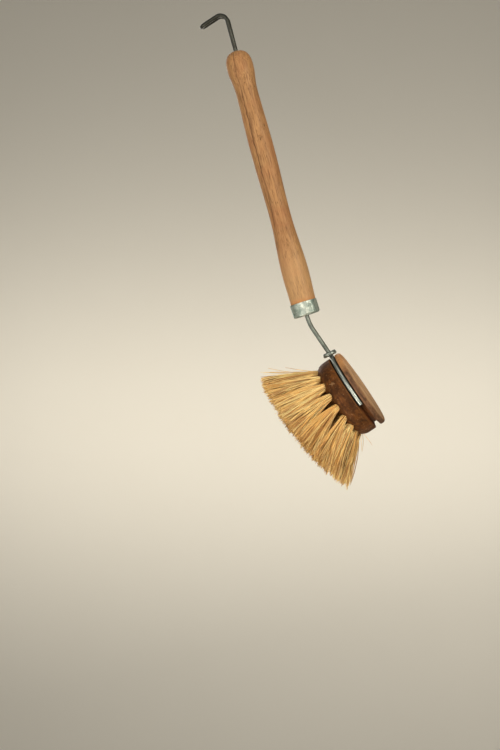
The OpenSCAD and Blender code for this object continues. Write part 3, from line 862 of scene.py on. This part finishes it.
steelSet = {
    "broad": (260, 0.4, 0.66), "fine": (2000, 0.45, 0.7), "lines": (2600, 0.25), "lineTint": tint(150, 152, 142),
    "metal": (tint(106, 110, 100), tint(80, 83, 74)), "fineWash": (0.25, tint(66, 66, 58)),
    # painted shade: the hook above the handle's top is darkened
    "hook": (handleHigh.z - 10 * mm, handleHigh.z + 4 * mm), "hookShadeWash": (0.85, tint(46, 43, 36)),
    # painted light: the wire of the ring and prongs below the neck is painted brighter
    "clip": (ferruleLow.z - 21 * mm, ferruleLow.z - 33 * mm), "clipLightWash": (0.55, tint(200, 206, 194)),
    "rough": (0.12, 0.33), "bump": (0.01 * mm, 0.2),
}


def makeSteel():
    spec = steelSet
    material, tree, shader, at = newMaterial("steelWire", Metallic=0.85)
    broad, fine, lines, colour = mottledMetal(tree, at, spec)
    height = splitVector(tree, at)["Z"]
    colour = wash(tree, colour, squeeze(tree, height, *spec["hook"]), *spec["hookShadeWash"])  # painted shade: the hook above the handle's top is darkened
    colour = wash(tree, colour, squeeze(tree, height, *spec["clip"]), *spec["clipLightWash"])  # painted light: the ring and prongs below the neck are painted brighter
    finishPaint(tree, shader, spec, colour, broad, calc(tree, "ADD", fine, lines))
    return material


bareWood = tint(216, 170, 118)
stainSet = {
    "damp": {
        "Scale": 300, "Stretch": 7, "Pale": tint(106, 61, 23), "Dark": tint(60, 34, 12), "Streaks": 0.7, "Flecks": 0.5,
    },
    # the plate's pale back: worn bare wood with a painted highlight
    "bareAndLitBack": {"Scale": 520, "Stretch": 26, "Pale": bareWood, "Dark": tint(160, 114, 72), "Streaks": 0.8, "Flecks": 0.7},
    "rim": {
        "Scale": 700, "Stretch": 9, "Pale": tint(134, 94, 65), "Dark": tint(66, 43, 32), "Streaks": 0.9, "Flecks": 0.8,
    },
    "patches": (150, 0.4, 0.64), "stains": (420, 0.48, 0.72), "lines": (900, 0.15), "wetWash": (0.65, tint(44, 24, 7)),
    "worn": tint(116, 71, 29), "wornShare": 0.4, "lipShare": 0.45, "lipWidth": (0.6 * mm, 0.15 * mm),
    "lipPlace": grooveHalf + 0.35 * mm, "rimShadeHeights": (5.28 * mm, 4.6 * mm), "rimShadeShare": (-0.75, 0.95),
    "handleEnd": (-12 * mm, -22 * mm), "handleEndWash": (0.6, tint(200, 136, 78)),
    "farEnd": (0, 24 * mm), "farEndShare": 0.45, "farTint": tint(80, 54, 34), "patchShare": 0.25,
    "plateFrom": (grooveHalf - 0.1 * mm, grooveHalf + 0.3 * mm),
    # painted shade in the groove: near black towards the handle, brown towards the far end
    "grooveFrom": (grooveHalf + 0.1 * mm, grooveHalf - 0.2 * mm), "grooveShadeShare": 0.85,
    "grooveLength": (6 * mm, 14 * mm), "grooveShadeTints": (tint(16, 9, 4), tint(116, 70, 36)),
    "nick": Vector((7.3, -22.2, -11.5)) * mm, "nickLines": [(0.53, 0.85, 2.2 * mm), (0.85, -0.53, 1.5 * mm)],
    "nickWidth": (0.34 * mm, 0.08 * mm), "nickFade": 0.6, "nickShare": 0.28,
    "rough": (0.15, 0.55), "stainBump": 0.3, "bump": (0.14 * mm, 0.5),
}


def headPlace(tree, vector, place, turn):  # a point as seen from a place on the head
    node = addNode(tree, "Mapping", {"vector_type": "TEXTURE"}, Location=place, Rotation=turn)
    tree.links.new(vector, node.inputs["Vector"])
    return node.outputs[0]


def makeStained():
    spec = stainSet
    material, tree, shader, at = newMaterial("stainedHead", Specular_IOR_Level=0.12)
    tilt = math.atan2(awayFromHandle.x, awayFromHandle.z)
    at = headPlace(tree, at, headCentre, (0, tilt, 0))  # Z runs away from the handle, X out of the bristle side
    parts = splitVector(tree, at)
    along, height = parts["Z"], times(tree, parts["X"], -1)
    patches, stains = patchesAt(tree, at, *spec["patches"]), patchesAt(tree, at, *spec["stains"])
    lines = scratchesAt(tree, at, *spec["lines"])
    damp, bareAndLitBack, ends = [useGroup(tree, woodGrain, Vector=at, **spec[name]) for name in ("damp", "bareAndLitBack", "rim")]
    block = wash(tree, damp["Color"], patches, *spec["wetWash"])
    block = wash(tree, block, stains, spec["wornShare"], spec["worn"])
    block = blend(tree, lines, block, bareWood)
    fromLip = calc(tree, "ABSOLUTE", calc(tree, "ADD", height, spec["lipPlace"]))
    lip = squeeze(tree, fromLip, *spec["lipWidth"])
    block = wash(tree, block, lip, spec["lipShare"], spec["worn"])  # wood rubbed pale along the groove
    handleEnd = squeeze(tree, along, *spec["handleEnd"])
    # the plate's back face pale, partly worn wood and partly a painted highlight; its rim side darker, partly grain and
    # partly painted shade
    rim = times(tree, squeeze(tree, height, *spec["rimShadeHeights"]), rise(tree, handleEnd, *spec["rimShadeShare"]))
    plate = blend(tree, rim, bareAndLitBack["Color"], ends["Color"])
    plate = wash(tree, plate, handleEnd, *spec["handleEndWash"])
    plate = wash(tree, plate, squeeze(tree, along, *spec["farEnd"]), spec["farEndShare"], spec["farTint"])
    plate = wash(tree, plate, patches, spec["patchShare"], spec["farTint"])
    colour = blend(tree, squeeze(tree, height, *spec["plateFrom"]), block, plate)
    # painted shade in the groove: near black towards the handle, brown towards the far end
    inGroove = squeeze(tree, calc(tree, "ABSOLUTE", height), *spec["grooveFrom"])
    grooveShadeTint = blend(tree, squeeze(tree, along, *spec["grooveLength"]), *spec["grooveShadeTints"])
    colour = wash(tree, colour, inGroove, spec["grooveShadeShare"], grooveShadeTint)
    turn = math.atan2(-spec["nick"].y, spec["nick"].z)
    nick = splitVector(tree, headPlace(tree, at, spec["nick"], (turn, 0, 0)))
    first, second = nick["X"], nick["Y"]
    for c, s, half in spec["nickLines"]:
        aside = calc(tree, "ABSOLUTE", calc(tree, "ADD", times(tree, first, c), times(tree, second, s)))
        onward = calc(tree, "ABSOLUTE", calc(tree, "SUBTRACT", times(tree, second, c), times(tree, first, s)))
        fade = squeeze(tree, onward, half, half * spec["nickFade"])
        mark = times(tree, squeeze(tree, aside, *spec["nickWidth"]), fade)
        colour = wash(tree, colour, mark, spec["nickShare"], bareWood)
    bumps = calc(tree, "ADD", damp["Height"], times(tree, stains, spec["stainBump"]))
    finishPaint(tree, shader, spec, colour, patches, bumps)
    return material


strawSet = {
    "straw": (tint(255, 233, 160), tint(248, 190, 100)), "toneRange": (0.15, 0.85),
    "patches": (260, 0.4, 0.66), "patchWash": (0.22, tint(232, 180, 98)),
    "dullAndShadeRange": (0.66, 0.92), "dullAndShadeWash": (0.85, tint(146, 92, 38)),
    "rootRange": (0.52, 0.08), "rootWash": (0.74, tint(186, 130, 74)),
    "tipRange": (0.84, 1), "tipWash": (0.4, tint(192, 144, 80)), "rough": (0.15, 0.5),
}


def makeFibre():
    spec = strawSet
    material, tree, shader, at = newMaterial("bristleFibre", Specular_IOR_Level=0.35)
    tone, along = attribute(tree, "fibreTone"), attribute(tree, "fibreAlong")
    colour = blend(tree, squeeze(tree, tone, *spec["toneRange"]), *spec["straw"])
    colour = wash(tree, colour, patchesAt(tree, at, *spec["patches"]), *spec["patchWash"])
    # high tones turn dull brown: the fibres' own dull colour, and painted shade where the tone was raised for inner
    # sides and inner rings
    colour = wash(tree, colour, squeeze(tree, tone, *spec["dullAndShadeRange"]), *spec["dullAndShadeWash"])
    colour = wash(tree, colour, squeeze(tree, along, *spec["rootRange"]), *spec["rootWash"])
    colour = wash(tree, colour, squeeze(tree, along, *spec["tipRange"]), *spec["tipWash"])
    finishPaint(tree, shader, spec, colour, tone)
    return material


finishes = {
    "beech": makeBeech(), "galvanised": makeGalvanised(), "steel": makeSteel(), "stained": makeStained(),
    "fibre": makeFibre(),
}


def dress(piece, finish):
    piece.data.materials.clear()
    piece.data.materials.append(finishes[finish])


dress(turnedHandle, "beech")
dress(crimpedFerrule, "galvanised")
dress(brushHead, "stained")
for piece in (hangerWire, lockRing, leftProng, rightProng, frame["nodes"]["tuft_anchors"]):
    dress(piece, "steel")
for piece in fibreTufts:
    dress(piece, "fibre")
print("materials made:", len(finishes))


# Pale sweep far behind, soft light and the camera at the photograph's place
stageSet = {
    "back": 1.7, "floor": -1.25, "wide": 9, "front": -8, "tall": 2.6, "round": 0.6, "cuts": 16, "shade": 40,
    "patches": (3, 0.3, 0.8), "paint": tint(234, 227, 211), "patchWash": (0.2, tint(225, 217, 200)),
    "air": (0.95, 0.93, 0.88, 1), "airLight": (0.4, 0.1),
}
brushMiddle, softWhite = (0, 0, -0.16), (1, 0.98, 0.95)
lamps = [  # name, place, target, size, power, colour and roll
    ("keyLight", (0.66, -0.55, -0.06), brushMiddle, (0.42, 0.42), 5.4, (1, 0.965, 0.9)),
    ("fillLight", (-0.69, -0.65, -0.12), brushMiddle, (0.9, 0.9), 3.6, (1, 0.985, 0.95)),
    ("frontLight", (-0.2, -0.95, 0.02), (0, 0, -0.18), (0.5, 0.5), 2.3, (1, 0.975, 0.93)),
    ("topLight", (0.1, -0.2, 0.6), brushMiddle, (0.6, 0.6), 1.7, softWhite),
    ("backLight", (-0.3, 0.85, 0.1), brushMiddle, (0.8, 0.8), 4.5, softWhite),
    ("floorLight", (0, -3, -0.9), (0, -3, -2), (18, 10), 270, softWhite),
    ("lowLight", (-0.35, -0.6, -0.75), (0.01, 0, -0.25), (0.4, 0.4), 4, (1, 0.98, 0.94)),
    ("sweepLight", (-0.2, 1.3, -0.325), (-0.2, 1.7, -0.325), (1.4, 0.25), 2.75, (1, 0.97, 0.92), -15.5),
    ("leftLight", (-4, 1.2, 0), (-4, 1.7, 0), (4.8, 2.4), 18, softWhite),  # the sweep beside the view
    ("rightLight", (4, 1.2, 0), (4, 1.7, 0), (4.8, 2.4), 18, softWhite),
]
cameraSet = {
    "place": (0.0879, -1.0044, -0.2061), "forward": (-0.12487, 0.99215, -0.00655), "up": (0.25685, 0.03871, 0.96568),
    "lens": 80, "sensor": 36,
}


def makeSweep():
    spec = stageSet
    piece = startLine("paleSweep", 1)
    line = [(spec["front"], 0), (spec["back"] - spec["round"], 0)]
    line += arcPoints((spec["back"] - spec["round"], spec["round"]), spec["round"], -90, 0, spec["cuts"])[1:]
    line += [(spec["back"], spec["tall"])]
    drawOut([(-spec["wide"], y, z) for y, z in line])
    bpy.ops.mesh.extrude_region_move(TRANSFORM_OT_translate={"value": (2 * spec["wide"], 0, 0)})
    bpy.ops.object.mode_set(mode="OBJECT")
    smoothShade(piece, spec["shade"])
    settle(piece, Matrix.Translation((0, 0, spec["floor"])))
    material, tree, shader, at = newMaterial("palePaint", Roughness=0.9)
    colour = wash(tree, spec["paint"], patchesAt(tree, at, *spec["patches"]), *spec["patchWash"])
    tree.links.new(colour, shader.inputs["Base Color"])
    piece.data.materials.append(material)
    piece.visible_diffuse = False  # the stage throws no colour on the brush


def addLight(name, place, target, size, power, colour, roll=0):
    pickOnly(None)
    bpy.ops.object.light_add(type="AREA", location=place)
    lamp = bpy.context.object
    lamp.name = name
    lamp.rotation_euler = (Vector(target) - Vector(place)).to_track_quat("-Z", "Y").to_euler()
    lamp.rotation_euler.rotate_axis("Z", math.radians(roll))
    lamp.data.shape = "RECTANGLE"
    lamp.data.size, lamp.data.size_y = size
    lamp.data.energy = power
    lamp.data.color = colour
    lamp.visible_camera = False


def setAir():  # pale round the sweep, with little light on the brush
    scene = bpy.context.scene
    scene.world = scene.world or bpy.data.worlds.new("studio")
    scene.world.use_nodes = True
    tree = scene.world.node_tree
    sockets = tree.nodes["Background"].inputs
    sockets["Color"].default_value = stageSet["air"]
    shown = addNode(tree, "LightPath").outputs["Is Camera Ray"]
    tree.links.new(rise(tree, shown, *stageSet["airLight"]), sockets["Strength"])


def placeCamera():
    bpy.ops.object.camera_add(location=cameraSet["place"])
    camera = bpy.context.object
    back = -Vector(cameraSet["forward"]).normalized()
    across = Vector(cameraSet["up"]).cross(back).normalized()
    turned = Matrix((across, back.cross(across), back)).transposed().to_4x4()
    turned.translation = cameraSet["place"]
    camera.matrix_world = turned
    camera.data.lens = cameraSet["lens"]
    camera.data.sensor_width = cameraSet["sensor"]
    bpy.context.scene.camera = camera


makeSweep()
for lamp in lamps:
    addLight(*lamp)
setAir()
placeCamera()
bpy.context.scene.view_settings.view_transform = "Standard"
print("stage, lights and camera set")
